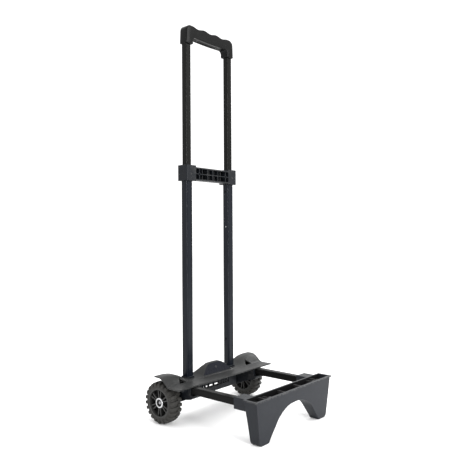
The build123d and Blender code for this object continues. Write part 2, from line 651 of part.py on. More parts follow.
def tyre():
    """Tread carcass with two rows of staggered lugs."""
    half = (WHEEL_OUTER_X - WHEEL_INNER_X) / 2
    middle = (WHEEL_OUTER_X + WHEEL_INNER_X) / 2
    shoulder = TREAD_FLOOR_RADIUS - 6
    section = make_face(
        Curve()
        + [
            Polyline(
                (-half + 0.8, shoulder), (-half + 0.8, TYRE_SEAT_RADIUS),
                (half - 0.8, TYRE_SEAT_RADIUS), (half - 0.8, shoulder),
            ),
            ThreePointArc((half - 0.8, shoulder), (0, TREAD_FLOOR_RADIUS), (-half + 0.8, shoulder)),
        ]
    )
    carcass = revolve(Plane.XZ * section, Axis.X)
    lug_depth_start = TREAD_FLOOR_RADIUS - 8
    lug_profile = make_face(
        Polyline(
            (0.6, lug_depth_start), (half, lug_depth_start),
            *[(half - inset, WHEEL_RADIUS - drop) for inset, drop in LUG_CROWN],
            (0.6, WHEEL_RADIUS), (0.6, lug_depth_start),
        )
    )
    lug_arc = math.degrees(4.3 / WHEEL_RADIUS) * 2
    lugs = []
    for row in (1, -1):
        profile = lug_profile if row == 1 else mirror(lug_profile, Plane.YZ)
        wedge = Rot(-lug_arc / 2, 0, 0) * revolve(Plane.XZ * profile, Axis.X, revolution_arc=lug_arc)
        stagger = 0.5 if row == -1 else 0.0
        for index in range(LUG_COUNT):
            lugs.append(Rot((index + stagger) * 360 / LUG_COUNT, 0, 0) * wedge)
    whole = carcass.fuse(*lugs)
    return Pos(middle, AXLE_Y, AXLE_Z) * whole


def rim():
    """Plastic rim: outer band, hub, thin web and six pairs of spokes on both sides of it."""
    middle = (WHEEL_OUTER_X + WHEEL_INNER_X) / 2
    band = rod_x(WHEEL_INNER_X + 1.5, WHEEL_OUTER_X - 1, AXLE_Y, AXLE_Z, TYRE_SEAT_RADIUS)
    band -= rod_x(WHEEL_INNER_X, WHEEL_OUTER_X, AXLE_Y, AXLE_Z, RIM_WINDOW_RADIUS)
    hub = rod_x(WHEEL_INNER_X, HUB_FACE_X - 3, AXLE_Y, AXLE_Z, HUB_RADIUS)
    spokes = []
    for pair in range(SPOKE_PAIRS):
        for lean in (-1, 1):
            spoke = block(
                WHEEL_INNER_X + 4, HUB_FACE_X - 1.5, AXLE_Y - SPOKE_WIDTH / 2, AXLE_Y + SPOKE_WIDTH / 2,
                AXLE_Z + HUB_RADIUS - 3, AXLE_Z + RIM_WINDOW_RADIUS + 1,
            )
            spokes.append(turned(spoke, pair * 360 / SPOKE_PAIRS + lean * SPOKE_SPREAD))
    web = rod_x(middle - 1, middle + 1, AXLE_Y, AXLE_Z, RIM_WINDOW_RADIUS + 1)
    wheel = band.fuse(hub, web, *spokes)
    wheel -= rod_x(WHEEL_INNER_X - 1, WHEEL_OUTER_X, AXLE_Y, AXLE_Z, BUSH_RADIUS + SEAT_GAP)
    wheel -= rod_x(HUB_FACE_X - 3, WHEEL_OUTER_X, AXLE_Y, AXLE_Z, HUB_RADIUS + SEAT_GAP)
    return wheel - rod_x(HUB_RECESS_X, WHEEL_OUTER_X, AXLE_Y, AXLE_Z, HUB_RECESS_RADIUS)


BUSH_RADIUS = 5.4


def hub_bush():
    """Sleeve pressed in the hub that turns on the axle."""
    sleeve = rod_x(WHEEL_INNER_X, HUB_RECESS_X, AXLE_Y, AXLE_Z, BUSH_RADIUS)
    return sleeve - rod_x(WHEEL_INNER_X - 1, HUB_RECESS_X + 1, AXLE_Y, AXLE_Z, BEARING_RADIUS)


def hub_ring():
    """Bright trim ring on the hub's outer face."""
    ring = rod_x(HUB_FACE_X - 3, HUB_FACE_X, AXLE_Y, AXLE_Z, HUB_RADIUS)
    ring = fillet(ring.edges().group_by(Axis.X)[-1], 1.4)
    return ring - rod_x(HUB_FACE_X - 4, HUB_FACE_X + 1, AXLE_Y, AXLE_Z, HUB_RECESS_RADIUS)


# Sliding platform ------------------------------------------------------------------------


def rail():
    """Grooved tube from the foot back into the side bracket."""
    size_x, size_z, radius = RAIL_TUBE
    tube = lying_bar(size_x, size_z, radius, RAIL_FRONT, RAIL_REAR)
    tube -= lying_bar(
        size_x - 2 * OUTER_WALL, size_z - 2 * OUTER_WALL, radius - OUTER_WALL / 2, RAIL_FRONT - 1, RAIL_REAR + 1
    )

    def cutter(x, z):
        length = RAIL_REAR - RAIL_FRONT + 2
        return Pos(RAIL_X + x, (RAIL_FRONT + RAIL_REAR) / 2, RAIL_Z + z) * Box(
            GROOVE_WIDTH, length, 2 * GROOVE_DEPTH
        )

    tube = grooved(tube, size_x, size_z, cutter)
    return tube - rod_z(RAIL_X, COLLAR_SCREW_Y, RAIL_Z, RAIL_Z + 12, SCREW_HOLE_RADIUS)


def rail_plug():
    """Plastic cap in the rear end of a rail."""
    size_x, size_z, radius = RAIL_TUBE
    inner = 2 * (OUTER_WALL + SEAT_GAP)
    corner = radius - OUTER_WALL / 2
    plug = lying_bar(size_x - inner, size_z - inner, corner, RAIL_REAR - 10, RAIL_REAR)
    return plug + lying_bar(size_x, size_z, radius, RAIL_REAR, RAIL_REAR + 2)


def foot_outline(inset, top):
    """Front view of the foot: a deep band on two tapering legs with a wide arch between."""
    arch = [(97, 9), (81, 28.5), (65, 47.5), (45, 61), (0, 69.5)]
    into_wall = [(0.8, 0.6), (0.79, 0.61), (0.65, 0.76), (0.37, 0.93), (0, 1)]
    arch = [(x + inset * nx, z + inset * nz) for (x, z), (nx, nz) in zip(arch, into_wall)]
    side, knee = (FOOT_HALF_WIDTH - inset, top), (138.5 - inset, 14)
    sole_out, sole_in = (127.5 - inset / 2, inset), (106.5 + inset / 2, inset)
    edges = [
        Line((0, top), side),
        Line(side, knee),
        Spline(knee, sole_out, tangents=[(-0.11, -1), (-1, 0)]),
        Line(sole_out, sole_in),
        Spline(sole_in, arch[0], tangents=[(-1, 0), (-0.62, 0.8)]),
        Spline(*arch, tangents=[(-0.62, 0.8), (-1, 0)]),
        Line(arch[-1], (0, top)),
    ]
    half = make_face(Curve() + edges)
    return half + mirror(half, Plane.YZ)


def foot_side(inset, top):
    """Side view of the foot between two drafted walls."""
    front_sole, front_top = FOOT_FRONT_SOLE_Y + inset, FOOT_FRONT_TOP_Y + inset
    rear_sole, rear_top = FOOT_REAR_SOLE_Y - inset, FOOT_REAR_Y - inset
    return make_face(
        Polyline((front_sole, -1), (front_top, top), (rear_top, top), (rear_sole, -1), (front_sole, -1))
    )


def front_foot():
    """Open-topped trough on two legs, with a collar for each rail."""
    outer = prism_y(foot_outline(0, FOOT_TOP), -190, -100) & prism_x(foot_side(0, FOOT_TOP), -200, 200)
    lip = block(
        -FOOT_HALF_WIDTH - LIP_REACH, FOOT_HALF_WIDTH + LIP_REACH,
        FOOT_FRONT_TOP_Y - LIP_REACH, FOOT_REAR_Y + 1.5, FOOT_TOP - LIP_HEIGHT, FOOT_TOP,
    )
    collar = block(RAIL_X - 19, RAIL_X + 19, FOOT_REAR_Y - 1, COLLAR_REAR_Y, 71.5, 98)
    collar = fillet(collar.edges().filter_by(Axis.Y), 3)
    inside_view = prism_x(foot_side(FOOT_WALL, FOOT_TOP + 1), -200, 200)
    hollow = prism_y(foot_outline(FOOT_WALL, FOOT_TOP + 1), -190, -100) & inside_view
    ribs = [block(x - 1.2, x + 1.2, -190, -100, -1, 90) for x in (-106, -33, 33, 106)]
    bosses = [rod_z(x, FOOT_FRONT_TOP_Y + 9, 20, 93, 5) for x in (-90, 90)]
    body = outer + lip - hollow
    for inside in [*ribs, *bosses]:
        body += inside & outer
    body = body + collar + mirrored(collar)
    for side_sign in (-1, 1):
        body -= lying_bar(
            RAIL_TUBE[0] + 2 * SEAT_GAP, RAIL_TUBE[1] + 2 * SEAT_GAP, RAIL_TUBE[2],
            RAIL_FRONT - 4, COLLAR_REAR_Y + 1, x=side_sign * RAIL_X,
        )
        body -= rod_z(side_sign * RAIL_X, COLLAR_SCREW_Y, RAIL_Z, 99, SCREW_HOLE_RADIUS)
        body -= rod_z(side_sign * RAIL_X, COLLAR_SCREW_Y, 98 - SCREW[1], 99, SCREW[0] + 0.1)
        body -= rod_z(side_sign * 90, FOOT_FRONT_TOP_Y + 9, 75, 94, SCREW_HOLE_RADIUS)
    return body


def rail_screws():
    return both_sides(Pos(RAIL_X, COLLAR_SCREW_Y, 98 - SCREW[1]) * screw(6))


# Output ----------------------------------------------------------------------------------

SINGLE = {
    "base_plate": base_plate,
    "hump_panel": hump_panel,
    "hump_panel_screw": lambda: panel_screw_at(screw(4)),
    "crossmember": crossmember,
    "crossbar": crossbar,
    "crossbar_rear_cover": crossbar_rear_cover,
    "crossbar_screws": crossbar_screws,
    "handle_shell": handle_shell,
    "handle_under_cover": handle_under_cover,
    "handle_screws": handle_screws,
    "plate_screws": plate_screws,
    "axle": axle,
    "axle_clips": axle_clips,
    "wheel_spacers": wheel_spacers,
    "front_foot": front_foot,
    "rail_screws": rail_screws,
}

PAIRED = {
    "outer_tube": outer_tube,
    "inner_tube": inner_tube,
    "inner_tube_plug": inner_tube_plug,
    "detent_pin": detent_pin,
    "detent_spring": detent_spring,
    "guide_bush": guide_bush,
    "tube_collar": tube_collar,
    "tube_socket": tube_socket,
    "side_bracket": side_bracket,
    "tyre": tyre,
    "rim": rim,
    "hub_bush": hub_bush,
    "hub_ring": hub_ring,
    "rail": rail,
    "rail_plug": rail_plug,
}

os.makedirs("parts", exist_ok=True)
for name, make in SINGLE.items():
    export_step(make(), f"parts/{name}.step")
for name, make in PAIRED.items():
    right = make()
    export_step(right, f"parts/{name}_right.step")
    export_step(mirrored(right), f"parts/{name}_left.step")
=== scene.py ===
"""Looks of the telescoping luggage trolley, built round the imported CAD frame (metres, same frame)."""

import json
import math

import bmesh
import bpy
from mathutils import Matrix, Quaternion, Vector

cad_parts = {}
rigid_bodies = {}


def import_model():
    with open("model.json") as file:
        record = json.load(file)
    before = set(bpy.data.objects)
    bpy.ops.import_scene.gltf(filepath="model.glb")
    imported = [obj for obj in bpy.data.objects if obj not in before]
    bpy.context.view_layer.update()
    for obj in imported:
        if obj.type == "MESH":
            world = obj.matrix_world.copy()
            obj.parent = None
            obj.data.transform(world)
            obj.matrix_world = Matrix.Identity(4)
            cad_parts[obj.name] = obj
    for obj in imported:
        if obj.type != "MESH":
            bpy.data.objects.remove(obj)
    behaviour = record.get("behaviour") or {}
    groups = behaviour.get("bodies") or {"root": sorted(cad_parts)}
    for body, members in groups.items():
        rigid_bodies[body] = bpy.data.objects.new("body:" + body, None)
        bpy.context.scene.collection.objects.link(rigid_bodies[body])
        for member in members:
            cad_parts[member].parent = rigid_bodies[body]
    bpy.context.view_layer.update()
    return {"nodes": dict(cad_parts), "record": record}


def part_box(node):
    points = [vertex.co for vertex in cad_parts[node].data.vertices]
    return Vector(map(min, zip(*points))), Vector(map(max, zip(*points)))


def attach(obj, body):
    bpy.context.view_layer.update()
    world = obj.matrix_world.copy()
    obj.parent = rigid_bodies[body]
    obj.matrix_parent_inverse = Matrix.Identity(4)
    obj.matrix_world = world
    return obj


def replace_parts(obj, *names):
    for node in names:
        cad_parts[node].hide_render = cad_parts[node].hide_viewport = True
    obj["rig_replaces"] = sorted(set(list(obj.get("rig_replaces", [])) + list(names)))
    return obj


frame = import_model()

MM = 0.001
SIDES = (("left", -1), ("right", 1))
BODY_OF = {node: body for body, nodes in frame["record"]["behaviour"]["bodies"].items() for node in nodes}
SLOT_OF = {part["node"]: part["material_slot"] for part in frame["record"]["subparts"]}


def box_mm(node):
    """Lowest and highest corner of a CAD node, in millimetres."""
    low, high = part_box(node)
    return low / MM, high / MM


# Materials ---------------------------------------------------------------------------------


def new_material(name):
    """Material with an empty node tree but for a Principled shader and its output."""
    material = bpy.data.materials.new(name)
    material.use_nodes = True
    tree = material.node_tree
    shader = tree.nodes["Principled BSDF"]
    return material, tree, shader


def noise_value(tree, scale, detail=3.0, stretch=(1, 1, 1), roughness=0.55):
    """Noise over the piece's own coordinates, in cells per metre."""
    place = tree.nodes.new("ShaderNodeTexCoord")
    mapping = tree.nodes.new("ShaderNodeMapping")
    mapping.inputs["Scale"].default_value = stretch
    texture = tree.nodes.new("ShaderNodeTexNoise")
    texture.inputs["Scale"].default_value = scale
    texture.inputs["Detail"].default_value = detail
    texture.inputs["Roughness"].default_value = roughness
    tree.links.new(place.outputs["Object"], mapping.inputs["Vector"])
    tree.links.new(mapping.outputs["Vector"], texture.inputs["Vector"])
    return texture.outputs["Fac"]


def ramp(tree, value, stops):
    """Colour ramp over a value; stops are (position, grey or colour)."""
    node = tree.nodes.new("ShaderNodeValToRGB")
    elements = node.color_ramp.elements
    while len(elements) < len(stops):
        elements.new(0.5)
    for element, (position, colour) in zip(elements, stops):
        element.position = position
        if not hasattr(colour, "__len__"):
            colour = (colour, colour, colour)
        element.color = (*colour, 1)
    tree.links.new(value, node.inputs["Fac"])
    return node.outputs["Color"]


def mix_colour(tree, share, a, b):
    """Mix two colour outputs or values by a share output."""
    node = tree.nodes.new("ShaderNodeMix")
    node.data_type = "RGBA"
    tree.links.new(share, node.inputs["Factor"])
    for socket, value in ((node.inputs["A"], a), (node.inputs["B"], b)):
        if isinstance(value, tuple):
            socket.default_value = (*value, 1)
        else:
            tree.links.new(value, socket)
    return node.outputs["Result"]


def shade(colour, factor):
    return tuple(channel * factor for channel in colour)


def moulded_plastic(
    name, colour, rough=(0.42, 0.48), grain=1500, grain_depth=0.00003, worn=None, specular=0.3
):
    """Injection-moulded plastic: blotchy tone, fine grain, and rubbed edges where worn is given."""
    material, tree, shader = new_material(name)
    blotch = noise_value(tree, 38, detail=5)
    tone = ramp(tree, blotch, [(0.3, shade(colour, 0.94)), (0.7, shade(colour, 1.06))])
    if worn:
        geometry = tree.nodes.new("ShaderNodeNewGeometry")
        edge = ramp(tree, geometry.outputs["Pointiness"], [(0.54, 0.0), (0.64, 1.0)])
        patches = ramp(tree, noise_value(tree, 120, detail=6), [(0.42, 0.0), (0.62, 1.0)])
        both = tree.nodes.new("ShaderNodeMath")
        both.operation = "MULTIPLY"
        tree.links.new(edge, both.inputs[0])
        tree.links.new(patches, both.inputs[1])
        tone = mix_colour(tree, both.outputs[0], tone, worn)
    tree.links.new(tone, shader.inputs["Base Color"])
    tree.links.new(
        ramp(tree, noise_value(tree, 90, detail=6), [(0.35, rough[0]), (0.65, rough[1])]),
        shader.inputs["Roughness"],
    )
    shader.inputs["Specular IOR Level"].default_value = specular
    bump = tree.nodes.new("ShaderNodeBump")
    bump.inputs["Strength"].default_value = 0.35
    bump.inputs["Distance"].default_value = grain_depth
    tree.links.new(noise_value(tree, grain, detail=2), bump.inputs["Height"])
    tree.links.new(bump.outputs["Normal"], shader.inputs["Normal"])
    return material


def drawn_metal(name, colour, rough, metallic, along="Z", tint=1.08, specular=0.5):
    """Drawn metal with fine lines along its length."""
    material, tree, shader = new_material(name)
    stretch = tuple(0.02 if axis == along else 1 for axis in "XYZ")
    lines = noise_value(tree, 900, detail=3, stretch=stretch)
    tone = ramp(tree, lines, [(0.3, shade(colour, 2 - tint)), (0.7, shade(colour, tint))])
    smudge = noise_value(tree, 25, detail=5)
    tree.links.new(tone, shader.inputs["Base Color"])
    tree.links.new(ramp(tree, smudge, [(0.35, rough[0]), (0.65, rough[1])]), shader.inputs["Roughness"])
    shader.inputs["Metallic"].default_value = metallic
    shader.inputs["Specular IOR Level"].default_value = specular
    bump = tree.nodes.new("ShaderNodeBump")
    bump.inputs["Strength"].default_value = 0.12
    bump.inputs["Distance"].default_value = 0.00003
    tree.links.new(lines, bump.inputs["Height"])
    tree.links.new(bump.outputs["Normal"], shader.inputs["Normal"])
    return material


MATERIALS = {
    "plate_plastic": moulded_plastic(
        "plate_plastic", (0.019, 0.0195, 0.0195), worn=(0.06, 0.06, 0.06), specular=0.2,
    ),
    "foot_plastic": moulded_plastic(
        "foot_plastic", (0.0115, 0.013, 0.0165), rough=(0.4, 0.43), grain_depth=0.00001,
        worn=(0.10, 0.10, 0.10), specular=0.16,
    ),
    # painted shade: near-black copy of the plastic for the handle's under cover, as if in shade under the
    # grip
    "shaded_plastic": moulded_plastic("shaded_plastic", (0.002, 0.002, 0.002), specular=0.05),
    # painted shade: darker copy of the foot plastic for the trough's inner walls
    "trough_painted_shade": moulded_plastic("trough_painted_shade", (0.0045, 0.0045, 0.005), specular=0.1),
    # painted light: the trough's ribs take a lighter, shinier copy of the foot plastic, as if lit
    "foot_rib": moulded_plastic("foot_rib", (0.02, 0.02, 0.021), specular=0.3),
    "black_plastic": moulded_plastic(
        "black_plastic", (0.0055, 0.0067, 0.0088), worn=(0.025, 0.025, 0.025), specular=0.15,
    ),
    "grip_plastic": moulded_plastic(
        "grip_plastic", (0.0035, 0.0035, 0.0035), rough=(0.18, 0.22), specular=0.11,
    ),
    "panel_plastic": moulded_plastic(
        "panel_plastic", (0.004, 0.005, 0.009), rough=(0.26, 0.3), grain_depth=0.00001, specular=0.12,
    ),
    "outer_tube_paint": drawn_metal(
        "outer_tube_paint", (0.004, 0.0055, 0.009), (0.2, 0.24), 0.0, specular=0.14,
    ),
    "inner_tube_paint": drawn_metal(
        "inner_tube_paint", (0.0038, 0.0038, 0.0034), (0.2, 0.24), 0.0, specular=0.1,
    ),
    "rail_paint": drawn_metal(
        "rail_paint", (0.004, 0.004, 0.004), (0.3, 0.34), 0.0, along="Y", specular=0.07,
    ),
    "tyre_rubber": moulded_plastic(
        "tyre_rubber", (0.024, 0.023, 0.021), rough=(0.6, 0.7), grain=700, grain_depth=0.00007,
        worn=(0.07, 0.066, 0.06), specular=0.25,
    ),
    "rim_plastic": moulded_plastic(
        "rim_plastic", (0.022, 0.022, 0.021), worn=(0.07, 0.07, 0.07), specular=0.3,
    ),
    "bright_trim": drawn_metal("bright_trim", (0.5, 0.505, 0.51), (0.16, 0.24), 1.0, along="X"),
    "steel": drawn_metal("steel", (0.26, 0.26, 0.27), (0.25, 0.4), 1.0, along="X"),
    "screw_black": drawn_metal("screw_black", (0.03, 0.03, 0.031), (0.35, 0.42), 0.6),
    "nylon": moulded_plastic("nylon", (0.01, 0.01, 0.01), specular=0.25),
}


# Mesh helpers ------------------------------------------------------------------------------


def add_object(name, mesh):
    piece = bpy.data.objects.new(name, mesh)
    bpy.context.scene.collection.objects.link(piece)
    return piece


def smooth(mesh, degrees=32):
    """Smooth shading with sharp edges above an angle."""
    mesh.shade_smooth()
    mesh.set_sharp_from_angle(angle=math.radians(degrees))


def mesh_piece(name, bm, material):
    """Object from a bmesh drawn in millimetres."""
    bmesh.ops.recalc_face_normals(bm, faces=bm.faces)
    bmesh.ops.scale(bm, vec=(MM, MM, MM), verts=bm.verts)
    mesh = bpy.data.meshes.new(name)
    bm.to_mesh(mesh)
    bm.free()
    mesh.materials.append(MATERIALS[material])
    return add_object(name, mesh)


def bevel(piece, width_mm, segments=3, degrees=30):
    """Round the edges of a piece above an angle, with normals that follow its large faces."""
    modifier = piece.modifiers.new("edge", "BEVEL")
    modifier.width = width_mm * MM
    modifier.segments = segments
    modifier.limit_method = "ANGLE"
    modifier.angle_limit = math.radians(degrees)
    weighted = piece.modifiers.new("weighted", "WEIGHTED_NORMAL")
    weighted.weight = 100
    weighted.keep_sharp = True
    return piece


def applied(piece):
    """Put the modifiers' result in the piece's own mesh."""
    graph = bpy.context.evaluated_depsgraph_get()
    mesh = bpy.data.meshes.new_from_object(piece.evaluated_get(graph))
    piece.modifiers.clear()
    piece.data = mesh
    return piece


def cut(piece, cutter):
    """Take a closed cutter away from a piece."""
    modifier = piece.modifiers.new("cut", "BOOLEAN")
    modifier.operation = "DIFFERENCE"
    modifier.solver = "EXACT"
    modifier.object = cutter
    applied(piece)
    bpy.data.objects.remove(cutter)
    return piece


def stands_for(piece, *nodes):
    """The piece rides on its nodes' body and replaces them."""
    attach(piece, BODY_OF[nodes[0]])
    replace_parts(piece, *nodes)
    return piece


def refined(node, width_mm, segments=2, material=None, degrees=30):
    """A CAD node's shape with its flat faces merged and its edges rounded."""
    bm = bmesh.new()
    bm.from_mesh(frame["nodes"][node].data)
    bmesh.ops.remove_doubles(bm, verts=bm.verts, dist=2e-6)
    bmesh.ops.dissolve_limit(
        bm, angle_limit=math.radians(0.6), use_dissolve_boundaries=False, verts=bm.verts, edges=bm.edges
    )
    mesh = bpy.data.meshes.new(f"{node}_finished")
    bm.to_mesh(mesh)
    bm.free()
    mesh.materials.clear()
    mesh.materials.append(MATERIALS[material or SLOT_OF[node]])
    piece = add_object(f"{node}_finished", mesh)
    smooth(mesh, degrees)
    bevel(piece, width_mm, segments, degrees)
    return stands_for(applied(piece), node)


def paint_trough_shade():
    """Painted shade on the foot's inner front and rear walls, below its rim: they take a darker material.
    """
    piece = bpy.data.objects["front_foot_finished"]
    low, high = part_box("front_foot")
    # painted shade: the inner walls below the rim take the darker material
    piece.data.materials.append(MATERIALS["trough_painted_shade"])
    front_walls_end = low.y + 10.5 * MM
    rear_wall_start, rear_wall_end = low.y + 30 * MM, low.y + 38 * MM
    rim = high.z - 2.5 * MM
    for face in piece.data.polygons:
        y, facing = face.center.y, face.normal.y
        in_front = y < front_walls_end and facing > 0.5
        in_rear = rear_wall_start < y < rear_wall_end and facing < -0.5
        if face.center.z < rim and (in_front or in_rear):
            face.material_index = 1


def paint_bore_shade(side):
    """Painted shade on a hub ring's inner wall: the bore takes the darker rim plastic, so that only the
    ring's face is bright.
    """
    node = f"hub_ring_{side}"
    low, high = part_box(node)
    axis = (low + high) / 2
    mesh = frame["nodes"][node].data
    # painted shade: the rim plastic stands in for the shade inside the bore
    mesh.materials.append(MATERIALS["rim_plastic"])
    for face in mesh.polygons:
        away = Vector((0, face.center.y - axis.y, face.center.z - axis.z))
        if face.normal.dot(away.normalized()) < -0.5:
            face.material_index = 1


RIBS_X = (-106, -33, 33, 106)
BOSSES_X = (-90, 90)


def trough_ribs():
    """Cross ribs and screw bosses that stand up in the foot's trough."""
    low, high = box_mm("front_foot")
    front, rear = low.y + 4.5, low.y + 36
    bm = bmesh.new()

    def wall(x, y, z, size):
        verts = bmesh.ops.create_cube(bm, size=1)["verts"]
        bmesh.ops.scale(bm, vec=size, verts=verts)
        bmesh.ops.translate(bm, vec=(x, y, z), verts=verts)

    for x in RIBS_X:
        wall(x, (front + rear) / 2, high.z - 9.5, (2.4, rear - front, 12))
    for x in BOSSES_X:
        boss = bmesh.ops.create_cone(bm, cap_ends=True, segments=32, radius1=5, radius2=4.6, depth=12)
        bmesh.ops.translate(bm, vec=(x, front + 7.5, high.z - 9), verts=boss["verts"])
        wall(x, (front + rear) / 2 + 3, high.z - 9, (2.2, rear - front - 8, 8))
    # painted light: the ribs and bosses use the lighter foot_rib copy of the foot plastic
    piece = mesh_piece("front_foot_ribs", bm, "foot_rib")
    bevel(piece, 0.4, 2)
    applied(piece)
    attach(piece, BODY_OF["front_foot"])


def closed_grid(bm, rows):
    """Faces between rows of vertices that close round in both directions."""
    count = len(rows)
    for i in range(count):
        a, b = rows[i], rows[(i + 1) % count]
        for j in range(len(a)):
            k = (j + 1) % len(a)
            bm.faces.new((a[j], a[k], b[k], b[j]))


def close_sheet(bm, face, back):
    """Faces of a sheet between two equal grids of vertices, with the rim round them."""
    last_row, last_column = len(face) - 1, len(face[0]) - 1
    for i in range(last_row):
        for j in range(last_column):
            bm.faces.new((face[i][j], face[i][j + 1], face[i + 1][j + 1], face[i + 1][j]))
            bm.faces.new((back[i][j], back[i + 1][j], back[i + 1][j + 1], back[i][j + 1]))
    rim = [(0, j) for j in range(last_column + 1)]
    rim += [(i, last_column) for i in range(1, last_row + 1)]
    rim += [(last_row, j) for j in range(last_column - 1, -1, -1)]
    rim += [(i, 0) for i in range(last_row - 1, 0, -1)]
    for (i, j), (k, m) in zip(rim, rim[1:] + rim[:1]):
        bm.faces.new((face[i][j], back[i][j], back[k][m], face[k][m]))


def smoothstep(low, high, value):
    t = min(max((value - low) / (high - low), 0), 1)
    return t * t * (3 - 2 * t)


def curve_through(points, value):
    """Smooth monotone interpolation through (position, height) points."""
    if value <= points[0][0]:
        return points[0][1]
    for (u0, v0), (u1, v1) in zip(points, points[1:]):
        if value <= u1:
            return hermite(points, u0, v0, u1, v1, value)
    return points[-1][1]


def slope_at(points, u):
    """Slope at one of the points, level at both ends."""
    index = [p[0] for p in points].index(u)
    if index in (0, len(points) - 1):
        return 0.0
    (a, va), (b, vb) = points[index - 1], points[index + 1]
    return (vb - va) / (b - a)


def hermite(points, u0, v0, u1, v1, value):
    width = u1 - u0
    t = (value - u0) / width
    m0, m1 = slope_at(points, u0) * width, slope_at(points, u1) * width
    return (
        (2 * t**3 - 3 * t**2 + 1) * v0 + (t**3 - 2 * t**2 + t) * m0
        + (-2 * t**3 + 3 * t**2) * v1 + (t**3 - t**2) * m1
    )


def smooth_min(a, b, radius):
    h = max(radius - abs(a - b), 0) / radius
    return min(a, b) - h * h * radius / 4


# Tyres -------------------------------------------------------------------------------------

LUGS = 22
LUG_SHARE = 0.56
LUG_SLANT = 0.16
LUG_HEIGHT = 4.2
EDGE_SHARE = 0.035


def tyre_profile(radius, half_width):
    """Half section as (distance from the middle plane, radius, share of the lug height)."""
    floor = radius - LUG_HEIGHT
    middle = [(0.0, floor, 0.0), (0.6, floor, 0.0), (1.3, floor, 1.0), (4.5, floor, 1.0)]
    # (distance in from the side, drop below the tread's floor, share of the lug height)
    crown = [
        (10.2, 0.1, 1.0), (7.8, 0.5, 1.0), (5.5, 1.2, 1.0), (3.9, 2.2, 0.95), (2.8, 3.4, 0.8),
        (1.9, 4.8, 0.55), (1.3, 6.2, 0.35), (0.6, 7.4, 0.0), (0.25, 8.2, 0.0), (0.1, 8.8, 0.0),
        (0.0, 9.2, 0.0), (0.0, 9.6, 0.0), (0.4, 10.2, 0.0), (0.7, 10.9, 0.0), (1.0, 11.4, 0.0),
        (1.8, 11.6, 0.0),
    ]
    return middle + [(half_width - inset, floor - drop, share) for inset, drop, share in crown]


def lug_mask(turn, across):
    """How much of a lug stands at this turn (in pitches) and distance from the middle plane."""
    offset = 0.0 if across > 0 else 0.5
    slant = LUG_SLANT * (abs(across) / 17 - 0.5)
    place = (turn + offset + slant) % 1.0
    distance = abs(place - 0.5)
    return 1 - smoothstep(LUG_SHARE / 2 - EDGE_SHARE, LUG_SHARE / 2 + EDGE_SHARE, distance)


def tyre(side):
    low, high = box_mm(f"tyre_{side}")
    centre = (low + high) / 2
    radius, half_width = (high.z - low.z) / 2, (high.x - low.x) / 2
    right = tyre_profile(radius, half_width)
    section = right + [(-a, r, h) for a, r, h in reversed(right[1:])]
    steps_per_lug = 18
    steps = LUGS * steps_per_lug
    bm = bmesh.new()
    rows = []
    for step in range(steps):
        turn = step / steps_per_lug
        angle = 2 * math.pi * step / steps
        row = []
        for index, (across, base, share) in enumerate(section):
            before, after = section[index - 1], section[(index + 1) % len(section)]
            tangent = Vector((after[0] - before[0], after[1] - before[1])).normalized()
            normal = Vector((-tangent.y, tangent.x))
            if normal.y < 0 and share > 0.6:
                normal = -normal
            if share <= 0.6 and normal.x * across < 0:
                normal = -normal
            lift = LUG_HEIGHT * share * lug_mask(turn, across)
            a, r = across + normal.x * lift, base + normal.y * lift
            a = min(max(a, -half_width), half_width)
            y, z = centre.y - r * math.sin(angle), centre.z - r * math.cos(angle)
            row.append(bm.verts.new((centre.x + a, y, z)))
        rows.append(row)
    closed_grid(bm, rows)
    piece = mesh_piece(f"tyre_{side}_tread", bm, "tyre_rubber")
    smooth(piece.data, 40)
    return stands_for(piece, f"tyre_{side}")


# Load plate --------------------------------------------------------------------------------

PLATE_WALL = 3.0
COLLAR_RECESS = 0.6


def plate_places():
    """The landmarks that shape the plate, from the frame's boxes, in millimetres."""
    low, high = box_mm("base_plate")
    tube_low, tube_high = box_mm("outer_tube_right")
    collar_low, _ = box_mm("tube_collar_right")
    return low, high, (tube_low + tube_high) / 2, collar_low.z + COLLAR_RECESS


PLATE_LOW, PLATE_HIGH, MAST, DECK = plate_places()
FENDER_RISE = 20.8
HUMP_RISE = PLATE_HIGH.z - DECK
# Rise of the wheel arch from front to back, from the mast's axis, and from inside to outside
ARCH_ALONG = [(-40, 0.0), (-32, 0.10), (-25, 0.37), (-15, 0.75), (-6, 0.96), (2, 1.0)]
ARCH_ACROSS = [(84, 0.0), (92, 0.06), (104, 0.28), (116, 0.58), (128, 0.80), (140, 0.92), (160, 1.0)]
# The hump's rise in the same way; the lower of the two counts
HUMP_ALONG = [
    (-38, 0), (-33, 1.0), (-30, 4.0), (-27, 9.5), (-20, 24.5), (-17.5, 27.2), (-13, HUMP_RISE),
    (-8, HUMP_RISE), (-4, 22), (6, 10), (14, 3),
]
HUMP_ACROSS = [
    (0, HUMP_RISE + 1.5), (18, HUMP_RISE + 0.3), (27, 26), (36, 21), (45, 13), (54, 5), (62, 1), (68, 0),
]


def deck_height(x, y):
    """Height of the plate's upper surface."""
    back = y - MAST.y
    arch = FENDER_RISE * curve_through(ARCH_ALONG, back) * curve_through(ARCH_ACROSS, abs(x))
    hump = max(smooth_min(curve_through(HUMP_ALONG, back), curve_through(HUMP_ACROSS, abs(x)), 2.5), 0)
    return DECK + arch + hump


def spread(low, high, step):
    count = max(round(abs(high - low) / step), 1)
    return [low + (high - low) * i / count for i in range(count + 1)]


def box_cutter(low, high):
    bm = bmesh.new()
    bmesh.ops.create_cube(bm, size=1)
    size = [b - a for a, b in zip(low, high)]
    bmesh.ops.scale(bm, vec=size, verts=bm.verts)
    bmesh.ops.translate(bm, vec=[(a + b) / 2 for a, b in zip(low, high)], verts=bm.verts)
    return mesh_piece("cutter", bm, "nylon")


